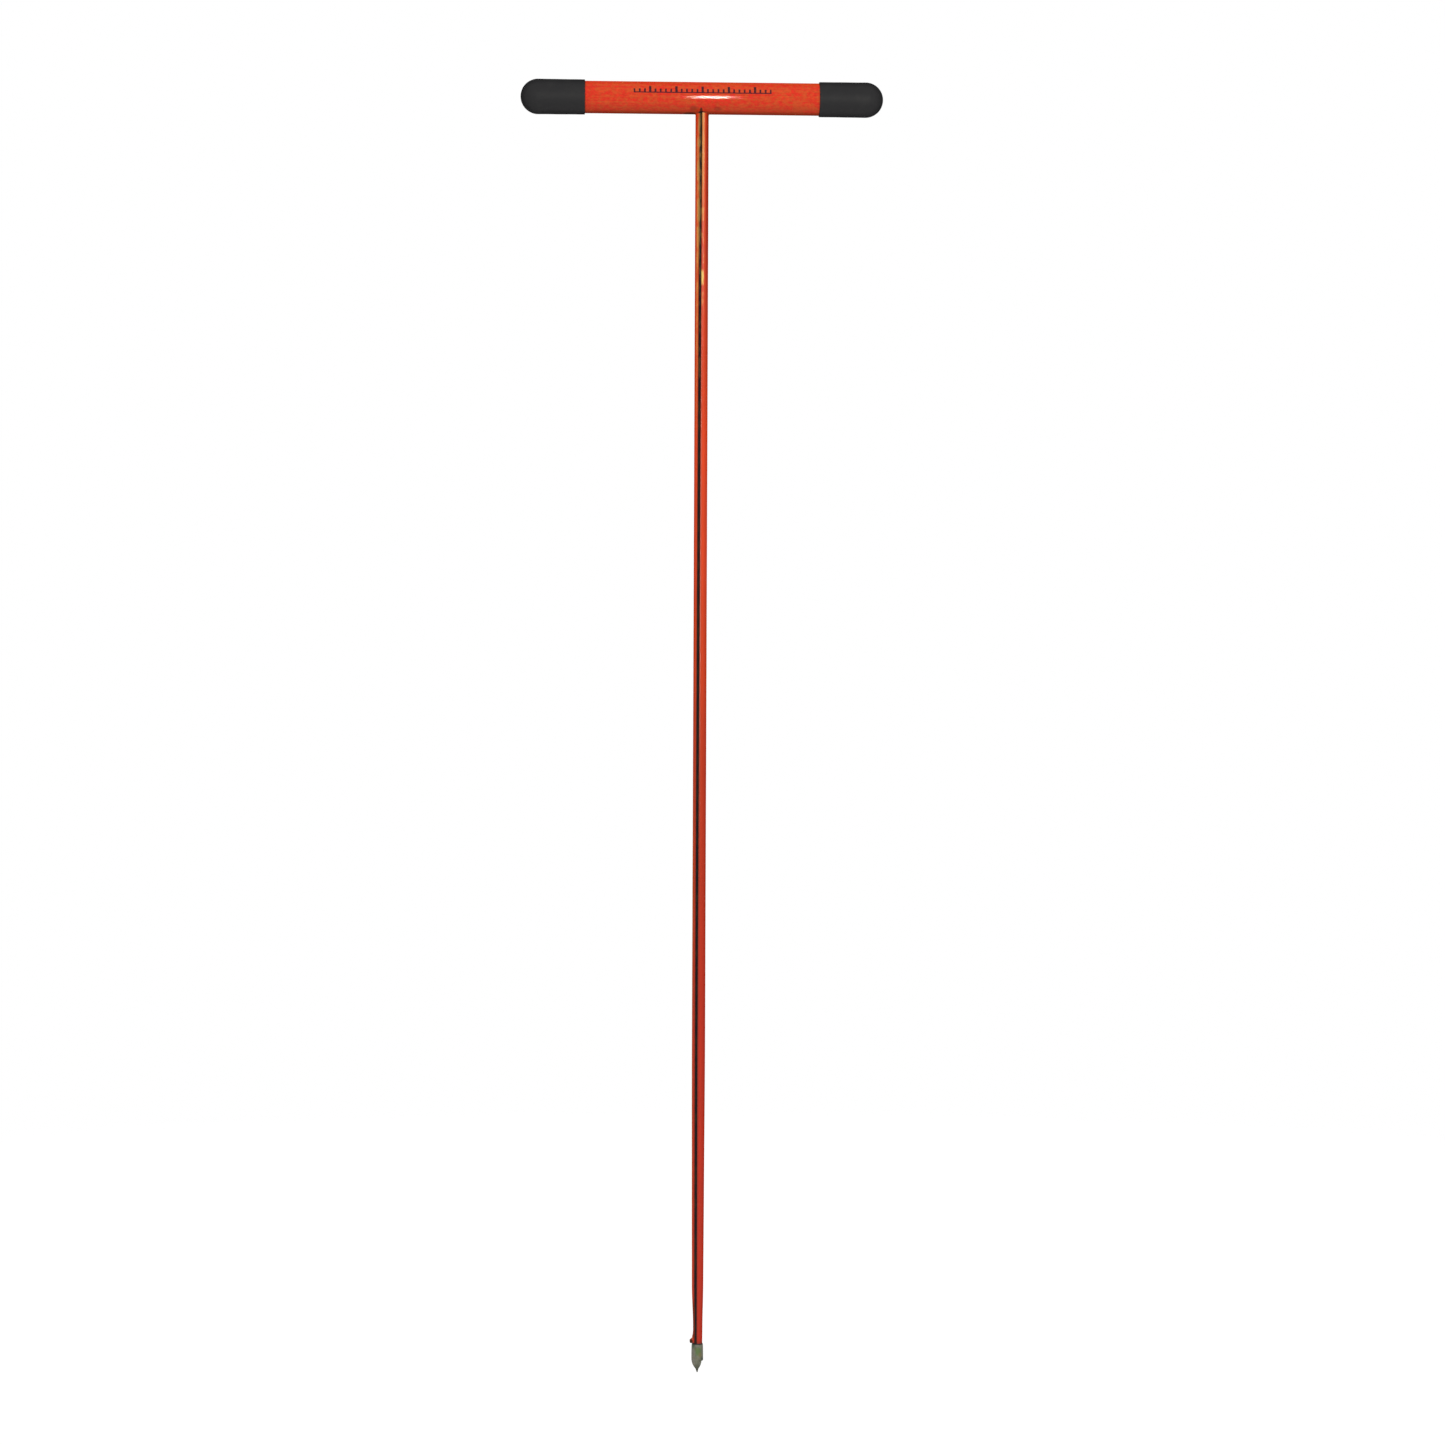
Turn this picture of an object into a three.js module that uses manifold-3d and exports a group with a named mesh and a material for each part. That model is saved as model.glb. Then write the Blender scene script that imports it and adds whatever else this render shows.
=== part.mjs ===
// A T-handled soil sampling probe, in millimetres, +Z up.
// The origin is where the axes of the cross handle and the shaft meet: the handle lies along X,
// the shaft hangs along -Z to its point, and the shaft's groove faces -Y.
import * as THREE from "three";
import { mergeVertices } from "three/addons/utils/BufferGeometryUtils.js";
import Module from "manifold-3d";

const wasm = await Module();
wasm.setup();

// Whole tool
const pointDepth = 1219.2; // from the handle's axis down to the point
const bondGap = 0.05; // between bonded, stretched or seated pieces
const cutOverrun = 1; // how far a cutter runs past what it cuts

// Cross handle
const handleLength = 347; // over the caps
const handleDiameter = 30.5;
const handleWall = 4;
const shaftHoleClearance = 0.2; // all round, filled with resin
const plugLength = 70;
const plugRoof = 1.8; // of the plug, left above the corners of the shaft's bore
const blindEndClearance = 0.3; // past a piece's end in a blind hole or cap

// End caps
const capLength = 61.4;
const capWall = 1.4;
const capEndThickness = 2.5;
const capLipRadius = 0.4; // rounding of the mouth's outer edge

// Shaft
const shaftDiameter = 12.7;
const shaftEndDiameter = 10.2;
const taperLength = 280; // the narrowed stretch above the tip
const taperPower = 0.7; // under 1, so the shaft narrows most just above the tip
const grooveWidth = 2.9;
const grooveDepth = 1.9; // below the full-size surface, so it runs shallower where the shaft narrows
const grooveTurnTop = 12.5; // degrees that the groove is turned from -Y towards -X, at the top
const grooveTurnBottom = 24.5; // and at the lower end, with most of the turn in the upper half
// The groove's floor and walls: how far across its mouth, and how far up from its floor
const grooveOutlineShares = [[-0.9, 0.45], [-0.5, 0.08], [0, 0], [0.5, 0.08], [0.9, 0.45]];
const resinLeg = 0.9; // size of the resin bead round the shaft, under the handle
const resinOutlineShares = [[0, -1], [0.35, -0.35], [1, 0], [0, 0]]; // out from the shaft, and up

// Tip, its washer and its stud
const tipLength = 27.2;
const tipDiameter = 11.3;
const tipTopDiameter = 10.9;
const tipStepDepth = 0.9; // the shoulder where the barrel ends and the point begins
const tipNoseLength = 3.5; // the slimmer end of the point
const tipNoseDiameter = 2.6;
const noseBendShares = [0.7, 0.5]; // where the nose's outline bends: radius and height
const shoulderShare = 0.424; // of the tip's length, where the cone meets the shoulder
const barrelFootShare = 0.448; // and where the barrel begins above it
const barrelStraightShare = 0.3; // of the barrel's length, before it narrows to its top
const coneSwellShare = 0.95; // how much the cone's outline swells
const washerThickness = 0.9;
const washerDiameter = 10.4;
const studDiameter = 6.35;
const threadPitch = 1.27;
const threadTurns = 10; // turns from seated to free
const threadDepth = 0.6;
const studBondLength = 25; // the part of the stud inside the shaft
const socketClearance = 0.2; // round the stud, and past its end
const drillPointAngle = 118; // degrees, at the blind ends of drilled holes

// How finely the round faces are cut
const handleSides = 48;
const shaftSides = 32;
const tipSides = 36;
const threadSides = 24;
const threadRingsPerTurn = 5;
const capArcSteps = 9;
const taperStations = 6;
const plainStations = 9;
const tipArcSteps = 5;

// Sizes that follow
const handleRadius = handleDiameter / 2;
const tubeBore = handleRadius - handleWall;
const plugRadius = tubeBore - bondGap;
const capBore = handleRadius + bondGap;
const capRadius = capBore + capWall;
const domeCentre = handleLength / 2 - capRadius; // the middle of each cap's round end, along X
const shaftRadius = shaftDiameter / 2;
const shaftEndRadius = shaftEndDiameter / 2;
const grooveFloorRadius = shaftRadius - grooveDepth;
const holeRadius = shaftRadius + shaftHoleClearance;
const boreTopZ = Math.sqrt(plugRadius ** 2 - holeRadius ** 2) - plugRoof;
const shaftTopZ = boreTopZ - blindEndClearance;
const tipTopZ = tipLength - pointDepth;
const washerBottomZ = tipTopZ + bondGap;
const washerTopZ = washerBottomZ + washerThickness;
const shaftEndZ = washerTopZ + bondGap;
const threadLength = threadPitch * threadTurns;
const studRadius = studDiameter / 2;
const studHoleRadius = studRadius + bondGap;
const socketRadius = studRadius + socketClearance;
const studEndZ = tipTopZ - threadLength - socketClearance;
const socketEndZ = studEndZ - socketClearance;

const orangeMatt = new THREE.MeshStandardMaterial({ color: 0xd4482a, roughness: 0.6 });
const orangeGloss = new THREE.MeshStandardMaterial({ color: 0xd24a2c, roughness: 0.2 });
const blackVinyl = new THREE.MeshStandardMaterial({ color: 0x333333, roughness: 0.7 });
const greyCore = new THREE.MeshStandardMaterial({ color: 0xb8b09a, roughness: 0.8 });
const brownResin = new THREE.MeshStandardMaterial({ color: 0x5a3a24, roughness: 0.4 });
const steel = new THREE.MeshStandardMaterial({ color: 0x8a8f80, roughness: 0.4, metalness: 1 });
const darkFibre = new THREE.MeshStandardMaterial({ color: 0x2a201c, roughness: 0.8 });

const degrees = THREE.MathUtils.degToRad;

// A geometry with only positions, its shared corners merged.
function cleaned(geometry) {
  const plain = geometry.clone();
  plain.deleteAttribute("normal");
  plain.deleteAttribute("uv");
  return mergeVertices(plain);
}

// A closed geometry as a solid for cutting.
function solidOf(geometry) {
  const merged = cleaned(geometry);
  return new wasm.Manifold(
    new wasm.Mesh({
      numProp: 3,
      vertProperties: new Float32Array(merged.attributes.position.array),
      triVerts: new Uint32Array(merged.index.array),
    }),
  );
}

// The geometry left when the cutters are taken from the body.
function cut(body, ...cutters) {
  let solid = solidOf(body);
  for (const cutter of cutters) solid = solid.subtract(solidOf(cutter));
  const mesh = solid.getMesh();
  const geometry = new THREE.BufferGeometry();
  geometry.setAttribute("position", new THREE.BufferAttribute(mesh.vertProperties, mesh.numProp));
  geometry.setIndex(new THREE.BufferAttribute(mesh.triVerts, 1));
  geometry.computeVertexNormals();
  return geometry;
}

// A profile of [radius, height] points, from the bottom up outside and down inside, turned about Z.
function turned(profile, sides) {
  const points = profile.map(([radius, height]) => new THREE.Vector2(radius, height));
  const geometry = new THREE.LatheGeometry(points, sides);
  geometry.rotateX(degrees(90));
  return geometry;
}

// The same, laid along +X.
function turnedAlongX(profile, sides) {
  const geometry = turned(profile, sides);
  geometry.rotateY(degrees(90));
  return geometry;
}

// A solid bar between two heights.
function rod(radius, bottom, top, sides) {
  return turned([[0, bottom], [radius, bottom], [radius, top], [0, top]], sides);
}

// Height of a drilled hole's cone.
function drillPoint(radius) {
  return radius / Math.tan(degrees(drillPointAngle / 2));
}

// Points on an ellipse's quarter: [across, along], from across = width to across = 0.
function quarterArc(width, height, steps) {
  return Array.from({ length: steps + 1 }, (_, i) => {
    const angle = degrees(90 * (i / steps));
    return [i === steps ? 0 : width * Math.cos(angle), height * Math.sin(angle)];
  });
}

// A skin over rings of points, each ring counter-clockwise seen from above, from the lowest up.
// An open stack is closed by a flat fan at each end, and a looped one joins its last ring to its first.
function skinned(rings, looped) {
  const sides = rings[0].length;
  const positions = rings.flat().flatMap((point) => point.toArray());
  const faces = [];
  const last = looped ? rings.length : rings.length - 1;
  for (let i = 0; i < last; i++) {
    const here = i * sides;
    const above = ((i + 1) % rings.length) * sides;
    for (let j = 0; j < sides; j++) {
      const next = (j + 1) % sides;
      faces.push(here + j, here + next, above + next);
      faces.push(here + j, above + next, above + j);
    }
  }
  if (!looped) {
    const bottomCentre = positions.length / 3;
    const topCentre = bottomCentre + 1;
    const topRing = (rings.length - 1) * sides;
    positions.push(0, 0, rings[0][0].z, 0, 0, rings[rings.length - 1][0].z);
    for (let j = 0; j < sides; j++) {
      const next = (j + 1) % sides;
      faces.push(bottomCentre, next, j);
      faces.push(topCentre, topRing + j, topRing + next);
    }
  }
  const geometry = new THREE.BufferGeometry();
  geometry.setAttribute("position", new THREE.Float32BufferAttribute(positions, 3));
  geometry.setIndex(faces);
  geometry.computeVertexNormals();
  return geometry;
}

// Height of the handle's underside at a place on the shaft's plan.
function handleUnderside(y) {
  return -Math.sqrt(handleRadius ** 2 - y ** 2);
}

// Tube along X, open at both ends, with a blind hole in its underside for the shaft.
function handleTube() {
  const half = domeCentre - blindEndClearance;
  const tube = turnedAlongX(
    [[tubeBore, -half], [handleRadius, -half], [handleRadius, half], [tubeBore, half], [tubeBore, -half]],
    handleSides,
  );
  return cut(tube, rod(holeRadius, -handleRadius - cutOverrun, 0, shaftSides));
}

// Solid plug in the tube's middle, bored from below as far as the shaft's top.
function corePlug() {
  const half = plugLength / 2;
  const plug = turnedAlongX([[0, -half], [plugRadius, -half], [plugRadius, half], [0, half]], handleSides);
  return cut(plug, rod(holeRadius, -plugRadius - cutOverrun, boreTopZ, shaftSides));
}

// Cap with a round end, its mouth at height 0 and its crown along +X.
function endCap() {
  const dome = capLength - capRadius;
  const raised = ([r, h]) => [r, h + dome];
  const outer = quarterArc(capRadius, capRadius, capArcSteps).map(raised);
  const inner = quarterArc(capBore, capRadius - capEndThickness, capArcSteps).map(raised);
  return turnedAlongX(
    [
      [capBore, 0],
      [capRadius - capLipRadius, 0],
      [capRadius, capLipRadius],
      ...outer,
      ...inner.reverse(),
      [capBore, 0],
    ],
    handleSides,
  );
}

// One section of the shaft: a circle with the groove's notch in it, turned to the groove's direction.
function shaftSection(radius, turn, z) {
  const depth = radius - grooveFloorRadius;
  const mouth = Math.asin(grooveWidth / 2 / radius);
  const polar = [[mouth, radius]];
  for (let i = 1; i < shaftSides; i++) {
    polar.push([mouth + (2 * Math.PI - 2 * mouth) * (i / shaftSides), radius]);
  }
  polar.push([-mouth, radius]);
  for (const [across, up] of grooveOutlineShares) {
    polar.push([across * mouth, grooveFloorRadius + up * depth]);
  }
  const facing = degrees(-90 - turn);
  return polar.map(
    ([angle, r]) => new THREE.Vector3(r * Math.cos(facing + angle), r * Math.sin(facing + angle), z),
  );
}

// Grooved bar from inside the handle down to the washer, narrowed at its lower end and bored for the stud.
function shaft() {
  const taperTopZ = shaftEndZ + taperLength;
  const heights = [];
  for (let i = 0; i <= taperStations; i++) {
    heights.push(shaftEndZ + taperLength * (i / taperStations));
  }
  for (let i = 1; i <= plainStations; i++) {
    heights.push(taperTopZ + (shaftTopZ - taperTopZ) * (i / plainStations));
  }
  const sections = heights.map((z) => {
    const widened = Math.min(1, (z - shaftEndZ) / taperLength) ** taperPower;
    const radius = shaftEndRadius + (shaftRadius - shaftEndRadius) * widened;
    const down = (shaftTopZ - z) / (shaftTopZ - shaftEndZ);
    const turn = grooveTurnTop + (grooveTurnBottom - grooveTurnTop) * Math.sin((Math.PI / 2) * down);
    return shaftSection(radius, turn, z);
  });
  const bore = turned(
    [
      [0, shaftEndZ - cutOverrun],
      [studHoleRadius, shaftEndZ - cutOverrun],
      [studHoleRadius, shaftEndZ + studBondLength + bondGap],
      [0, shaftEndZ + studBondLength + bondGap + drillPoint(studHoleRadius)],
    ],
    threadSides,
  );
  return cut(skinned(sections, false), bore);
}

// Ring of resin in the corner between shaft and handle, its upper face on the handle's curve.
function resinBead() {
  const inner = shaftRadius + bondGap;
  const rings = [];
  for (let i = 0; i < shaftSides; i++) {
    const angle = 2 * Math.PI * (i / shaftSides);
    const section = resinOutlineShares.map(([out, up]) => {
      const r = inner + out * resinLeg;
      const seat = handleUnderside(r * Math.sin(angle)) - bondGap;
      return new THREE.Vector3(r * Math.cos(angle), r * Math.sin(angle), seat + up * resinLeg);
    });
    rings.push(section);
  }
  return skinned(rings.reverse(), true);
}

// Stud: plain inside the shaft, threaded below it. The thread's radius follows a right-hand helix.
function tipStud() {
  const top = shaftEndZ + studBondLength;
  const threadedLength = shaftEndZ - studEndZ;
  const steps = Math.round((threadedLength / threadPitch) * threadRingsPerTurn);
  const rings = [];
  for (let i = 0; i <= steps; i++) {
    const z = studEndZ + threadedLength * (i / steps);
    const ring = [];
    for (let j = 0; j < threadSides; j++) {
      const angle = 2 * Math.PI * (j / threadSides);
      const phase = z / threadPitch - angle / (2 * Math.PI);
      const flank = Math.abs(2 * (phase - Math.floor(phase)) - 1);
      const runout = i === 0 || i === steps ? 1 : flank;
      const r = studRadius - threadDepth * runout;
      ring.push(new THREE.Vector3(r * Math.cos(angle), r * Math.sin(angle), z));
    }
    rings.push(ring);
  }
  for (const z of [shaftEndZ + bondGap, top]) {
    rings.push(
      Array.from({ length: threadSides }, (_, j) => {
        const angle = 2 * Math.PI * (j / threadSides);
        return new THREE.Vector3(studRadius * Math.cos(angle), studRadius * Math.sin(angle), z);
      }),
    );
  }
  return skinned(rings, false);
}

// Flat ring round the stud, with the stud's clearance.
function sealWasher() {
  const outer = washerDiameter / 2;
  return turned(
    [
      [socketRadius, washerBottomZ],
      [outer, washerBottomZ],
      [outer, washerTopZ],
      [socketRadius, washerTopZ],
      [socketRadius, washerBottomZ],
    ],
    tipSides,
  );
}

// Turned point: a slim nose, a cone that swells a little, a shoulder and a barrel, with a blind socket.
function probeTip() {
  const noseRadius = tipNoseDiameter / 2;
  const barrelRadius = tipDiameter / 2;
  const topRadius = tipTopDiameter / 2;
  const shoulderHeight = shoulderShare * tipLength;
  const barrelFoot = barrelFootShare * tipLength;
  const coneTop = barrelRadius - tipStepDepth;
  const [bendOut, bendUp] = noseBendShares;
  const profile = [[0, 0], [noseRadius * bendOut, tipNoseLength * bendUp], [noseRadius, tipNoseLength]];
  for (let i = 1; i <= tipArcSteps; i++) {
    const share = i / tipArcSteps;
    const swell = share + coneSwellShare * share * (1 - share);
    profile.push([
      noseRadius + (coneTop - noseRadius) * swell,
      tipNoseLength + (shoulderHeight - tipNoseLength) * share,
    ]);
  }
  for (let i = 0; i <= tipArcSteps; i++) {
    const share = i / tipArcSteps;
    const narrowing = Math.max(0, share - barrelStraightShare) / (1 - barrelStraightShare);
    profile.push([
      barrelRadius - (barrelRadius - topRadius) * narrowing ** 2,
      barrelFoot + (tipLength - barrelFoot) * share,
    ]);
  }
  return turned(
    [
      ...profile.map(([r, h]) => [r, h - pointDepth]),
      [socketRadius, tipTopZ],
      [socketRadius, socketEndZ],
      [0, socketEndZ - drillPoint(socketRadius)],
    ],
    tipSides,
  );
}

// A named piece in its group.
function place(group, name, geometry, material) {
  const mesh = new THREE.Mesh(geometry, material);
  mesh.name = name;
  group.add(mesh);
  return mesh;
}

const handle = new THREE.Group();
place(handle, "handle_tube", handleTube(), orangeMatt);
place(handle, "core_plug", corePlug(), greyCore);
const capMouth = handleLength / 2 - capLength;
const rightCap = place(handle, "end_cap_right", endCap(), blackVinyl);
rightCap.position.x = capMouth;
const leftCap = place(handle, "end_cap_left", endCap(), blackVinyl);
leftCap.position.x = -capMouth;
leftCap.rotation.z = Math.PI;

const stem = new THREE.Group();
place(stem, "shaft", shaft(), orangeGloss);
place(stem, "resin_bead", resinBead(), brownResin);
place(stem, "tip_stud", tipStud(), steel);

const point = new THREE.Group();
place(point, "seal_washer", sealWasher(), darkFibre);
place(point, "probe_tip", probeTip(), steel);

const probe = new THREE.Group();
probe.add(handle, stem, point);

export default probe;
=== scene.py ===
# A T-handled soil probe, dressed: matt orange cross handle with black caps, a glossy grooved
# shaft and a turned steel point. Lengths are in metres and angles in degrees.
import math

import bmesh
import bpy
import numpy as np
from mathutils import Matrix, Vector


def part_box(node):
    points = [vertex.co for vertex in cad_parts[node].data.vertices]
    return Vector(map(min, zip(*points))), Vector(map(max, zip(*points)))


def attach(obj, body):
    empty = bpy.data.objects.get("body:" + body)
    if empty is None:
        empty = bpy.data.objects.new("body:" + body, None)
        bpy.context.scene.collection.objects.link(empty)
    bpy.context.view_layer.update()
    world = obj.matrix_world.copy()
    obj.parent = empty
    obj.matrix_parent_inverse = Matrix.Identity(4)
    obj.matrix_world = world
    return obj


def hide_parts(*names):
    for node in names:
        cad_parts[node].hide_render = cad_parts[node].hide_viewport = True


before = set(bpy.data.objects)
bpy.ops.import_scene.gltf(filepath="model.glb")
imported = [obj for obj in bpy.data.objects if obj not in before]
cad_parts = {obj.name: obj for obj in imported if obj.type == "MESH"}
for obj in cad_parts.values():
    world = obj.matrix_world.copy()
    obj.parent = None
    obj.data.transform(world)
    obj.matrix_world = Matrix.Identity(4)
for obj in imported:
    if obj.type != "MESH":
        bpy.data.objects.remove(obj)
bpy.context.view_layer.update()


# What the frame says

_, tube_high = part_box("handle_tube")
TUBE_RADIUS = tube_high.z
TUBE_HALF_LENGTH = tube_high.x

cap_low, cap_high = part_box("end_cap_right")
CAP_RADIUS = cap_high.z
CAP_MOUTH = cap_low.x
CAP_END = cap_high.x

shaft_low, shaft_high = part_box("shaft")
SHAFT_TOP = shaft_high.z
SHAFT_END = shaft_low.z

stud_low, stud_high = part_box("tip_stud")
STUD_RADIUS = stud_high.x
STUD_END = stud_low.z
STUD_TOP = stud_high.z

washer_low, washer_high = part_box("seal_washer")
tip_low, tip_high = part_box("probe_tip")
POINT = tip_low.z
TIP_TOP = tip_high.z
TIP_LENGTH = TIP_TOP - POINT


# Sizes of the tool, and shares of them

FIT_GAP = 0.00005
DRILL_ANGLE = 118
DRILL_TIP_SHARE = 0.05

TUBE_WALL = 0.004
SHAFT_HOLE_RADIUS = 0.00655
HOLE_PATCH_REACH = 0.0085

CAP_END_THICKNESS = 0.0025
CAP_LIP_RADIUS = 0.0004
CAP_SMOOTH_END = 0.012
CAP_UNEVEN_SHARE = 0.005
CAP_TIGHT_SHARE = 0.009

SHAFT_RADIUS = 0.00635
SHAFT_END_RADIUS = 0.0051
SHAFT_UNEVEN = 0.000035
TAPER_LENGTH = 0.28
TAPER_POWER = 0.7
GROOVE_WIDTH = 0.0029
GROOVE_FLOOR_RADIUS = 0.00445
GROOVE_ROUNDNESS = 0.8
GROOVE_TURN_TOP = 12.5
GROOVE_TURN_BOTTOM = 24.5
GROOVE_LIP_DEPTH = 0.00008
GROOVE_LIP_WIDTH = 0.0003

WORN_LEFT = 0.0011
WORN_RIGHT = 0.0004
WORN_FLOOR_RADIUS = 0.0041
WORN_FULL_HEIGHT = 0.018
WORN_TOP_HEIGHT = 0.055
WORN_ROWS_TOP = 0.06
WORN_FROM = (132, 160)  # angles between which the wear on the left sets in
WORN_TO = (234, 252)  # and dies out
BURR_HEIGHT = 0.0029
BURR_ROWS_TOP = 0.014
BURR_START = 0.0003
BURR_DIRECTION = 190
BURR_NARROW = (0.0018, 0.0016)  # how far out, and its reach in height
BURR_BROAD = (0.0014, 0.005)
BURR_UNDERSIDE = (0.0032, 0.0058)

RESIN_LEG = 0.0009

STUD_BOND_LENGTH = 0.025
STUD_PLAIN_START = 0.0003
THREAD_PITCH = 0.00127
THREAD_DEPTH = 0.0006
THREAD_LEAD = 0.0011
THREAD_LEAD_DEPTH = 0.0005
THREAD_RUNOUT = 0.0013

SOCKET_RADIUS = 0.003375
SOCKET_DEPTH = 0.0131
TIP_RADIUS = 0.00565
TIP_TOP_RADIUS = 0.00545
TIP_STEP = 0.0009
TIP_EDGE = 0.0002
TIP_SHOULDER = POINT + 0.424 * TIP_LENGTH
TIP_FOOT = POINT + 0.448 * TIP_LENGTH
TIP_FOOT_RADIUS = 0.00025
TIP_FOOT_DROP = 0.0001
TIP_FOOT_START = -80
BARREL_PLAIN_SHARE = 0.3
CONE_SWELL_SHARE = 0.95
LEAN_AT_SHOULDER = 0.00070
LEAN_LOST_AT_POINT = 0.00068
NOSE_LENGTH = 0.0035
NOSE_RADIUS = 0.0013
NOSE_POWER = 0.55


# Camera

PHOTO_SIDE = 1445
PIXELS_PER_METRE = 1045
CAMERA_DISTANCE = 3.2
CAMERA_YAW = 2.335
CAMERA_ROLL = 0.225
CAMERA_AIM = Vector((0.0218, 0, -0.5972))
CAMERA_REACH = 50
SENSOR_WIDTH = 36  # millimetres, as Blender counts it


def make_camera():
    """Level camera at half the tool's height: it sees the handle from below, the point from above."""
    yaw = math.radians(CAMERA_YAW)
    roll = math.radians(CAMERA_ROLL)
    ahead = Vector((math.sin(yaw), math.cos(yaw), 0))
    level = Vector((math.cos(yaw), -math.sin(yaw), 0))
    up = Vector((0, 0, 1))
    across = level * math.cos(roll) + up * math.sin(roll)
    upright = up * math.cos(roll) - level * math.sin(roll)
    place = level * CAMERA_AIM.x + up * CAMERA_AIM.z - ahead * CAMERA_DISTANCE
    data = bpy.data.cameras.new("camera")
    data.sensor_width = SENSOR_WIDTH
    data.lens = SENSOR_WIDTH * PIXELS_PER_METRE * CAMERA_DISTANCE / PHOTO_SIDE
    data.clip_end = CAMERA_REACH
    camera = bpy.data.objects.new("camera", data)
    turn = Matrix((across, upright, -ahead)).transposed().to_4x4()
    camera.matrix_world = Matrix.Translation(place) @ turn
    bpy.context.scene.collection.objects.link(camera)
    bpy.context.scene.camera = camera


# Surfaces on grids

def wave(t, *terms):
    """Sum of sines of t, where each term says how often, how far along and how much."""
    return sum(size * np.sin(often * t + along) for often, along, size in terms)


def blend_in(value, low, high):
    """0 below low and 1 above high, smooth between: 3t^2 - 2t^3 of the share of the way."""
    share = np.clip((value - low) / (high - low), 0, 1)
    return share * share * (3 - 2 * share)


def bell(value, reach):
    """Bell curve: e to the minus square of value over reach."""
    return np.exp(-((value / reach) ** 2))


def polar(radius, angle, height):
    """Points at a radius and an angle about Z: x = r cos a, y = r sin a, z = height."""
    return np.stack([radius * np.cos(angle), radius * np.sin(angle), height + 0 * angle], -1)


def revolved(profile, sides):
    """Profile of (radius, height) rows turned about Z."""
    angle = np.linspace(0, 2 * np.pi, sides, endpoint=False)
    return polar(profile[:, :1], angle, profile[:, 1:])


def arc(middle, width, height, start, stop, steps):
    """Part of an ellipse in (radius, height): middle + (width cos a, height sin a)."""
    angle = np.radians(np.linspace(start, stop, steps))
    return np.stack([middle[0] + width * np.cos(angle), middle[1] + height * np.sin(angle)], -1)


def straight(radius, start, stop, steps):
    """Rows of a profile at one radius between two heights, without the ends."""
    return np.stack([np.full(steps, radius), np.linspace(start, stop, steps + 2)[1:-1]], -1)


def lying(grid):
    """The same grid with its Z axis laid along +X."""
    return np.stack([grid[..., 2], grid[..., 1], -grid[..., 0]], -1)


def drill_point(radius):
    """Height of a drilled hole's cone: radius over the tangent of half the drill's angle."""
    return radius / math.tan(math.radians(DRILL_ANGLE / 2))


def joined(near, far):
    """Four-sided faces between closed rings of corner numbers, ring by ring and corner by corner."""
    corners = [near, np.roll(near, -1, -1), np.roll(far, -1, -1), far]
    return np.stack(corners, -1).reshape(-1, 4).tolist()


def fan(middle, ring):
    """Triangles from a middle corner to each side of a closed ring."""
    return np.stack([np.full(len(ring), middle), ring, np.roll(ring, -1)], -1).tolist()


def make_piece(name, points, faces, sharp=35):
    """A mesh object from an array of points and lists of corner numbers, smooth up to sharp degrees."""
    mesh = bpy.data.meshes.new(name)
    mesh.from_pydata(points.tolist(), [], faces)
    mesh.validate()
    piece = bpy.data.objects.new(name, mesh)
    bpy.context.scene.collection.objects.link(piece)
    bpy.context.view_layer.objects.active = piece
    mesh.polygons.foreach_set("use_smooth", np.ones(len(mesh.polygons), bool))
    mesh.set_sharp_from_angle(angle=math.radians(sharp))
    return piece


def recalculate(piece):
    """Turns every face of a closed piece outwards."""
    shell = bmesh.new()
    shell.from_mesh(piece.data)
    bmesh.ops.recalc_face_normals(shell, faces=shell.faces)
    shell.to_mesh(piece.data)
    shell.free()


def skin(name, grid, looped=False, sharp=35):
    """Closed skin over a grid of points whose rows follow the piece and whose columns go round it.

    A looped grid joins its last row to its first. Any other is closed by a fan to the middle of
    its first row and of its last.
    """
    rows, columns = grid.shape[:2]
    numbers = np.arange(rows * columns).reshape(rows, columns)
    points = grid.reshape(-1, 3)
    if looped:
        faces = joined(numbers, np.roll(numbers, -1, 0))
    else:
        first, last = len(points), len(points) + 1
        points = np.vstack([points, grid[0].mean(0), grid[-1].mean(0)])
        faces = joined(numbers[:-1], numbers[1:])
        faces += fan(first, numbers[0][::-1]) + fan(last, numbers[-1])
    piece = make_piece(name, points, faces, sharp)
    recalculate(piece)
    return piece


# Cross handle

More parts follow.
